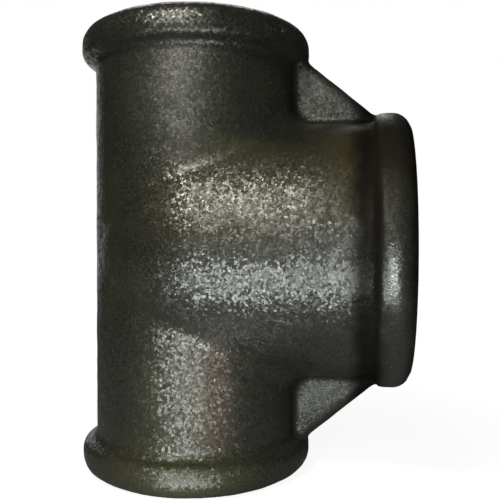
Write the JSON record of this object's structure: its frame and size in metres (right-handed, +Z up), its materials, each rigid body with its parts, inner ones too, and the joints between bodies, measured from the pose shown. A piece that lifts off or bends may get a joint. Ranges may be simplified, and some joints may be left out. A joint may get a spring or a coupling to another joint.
{
  "type": "reducing pipe tee",
  "caption": "Beaded malleable iron tee with female threads, straight run and a larger branch on a rounded bulge with two webs.",
  "frame": {"origin": "centre of the lower run port's end face, on the run's axis", "axes": "+Z up the run, +X out along the branch, +Y across the webs"},
  "size_m": [0.054, 0.0438, 0.072],
  "materials": {
    "casting": "black oxide cast skin, semi-gloss, with bare machined threads"
  },
  "bodies": {
    "root": {"tee_casting": "casting"}
  },
  "joints": []
}
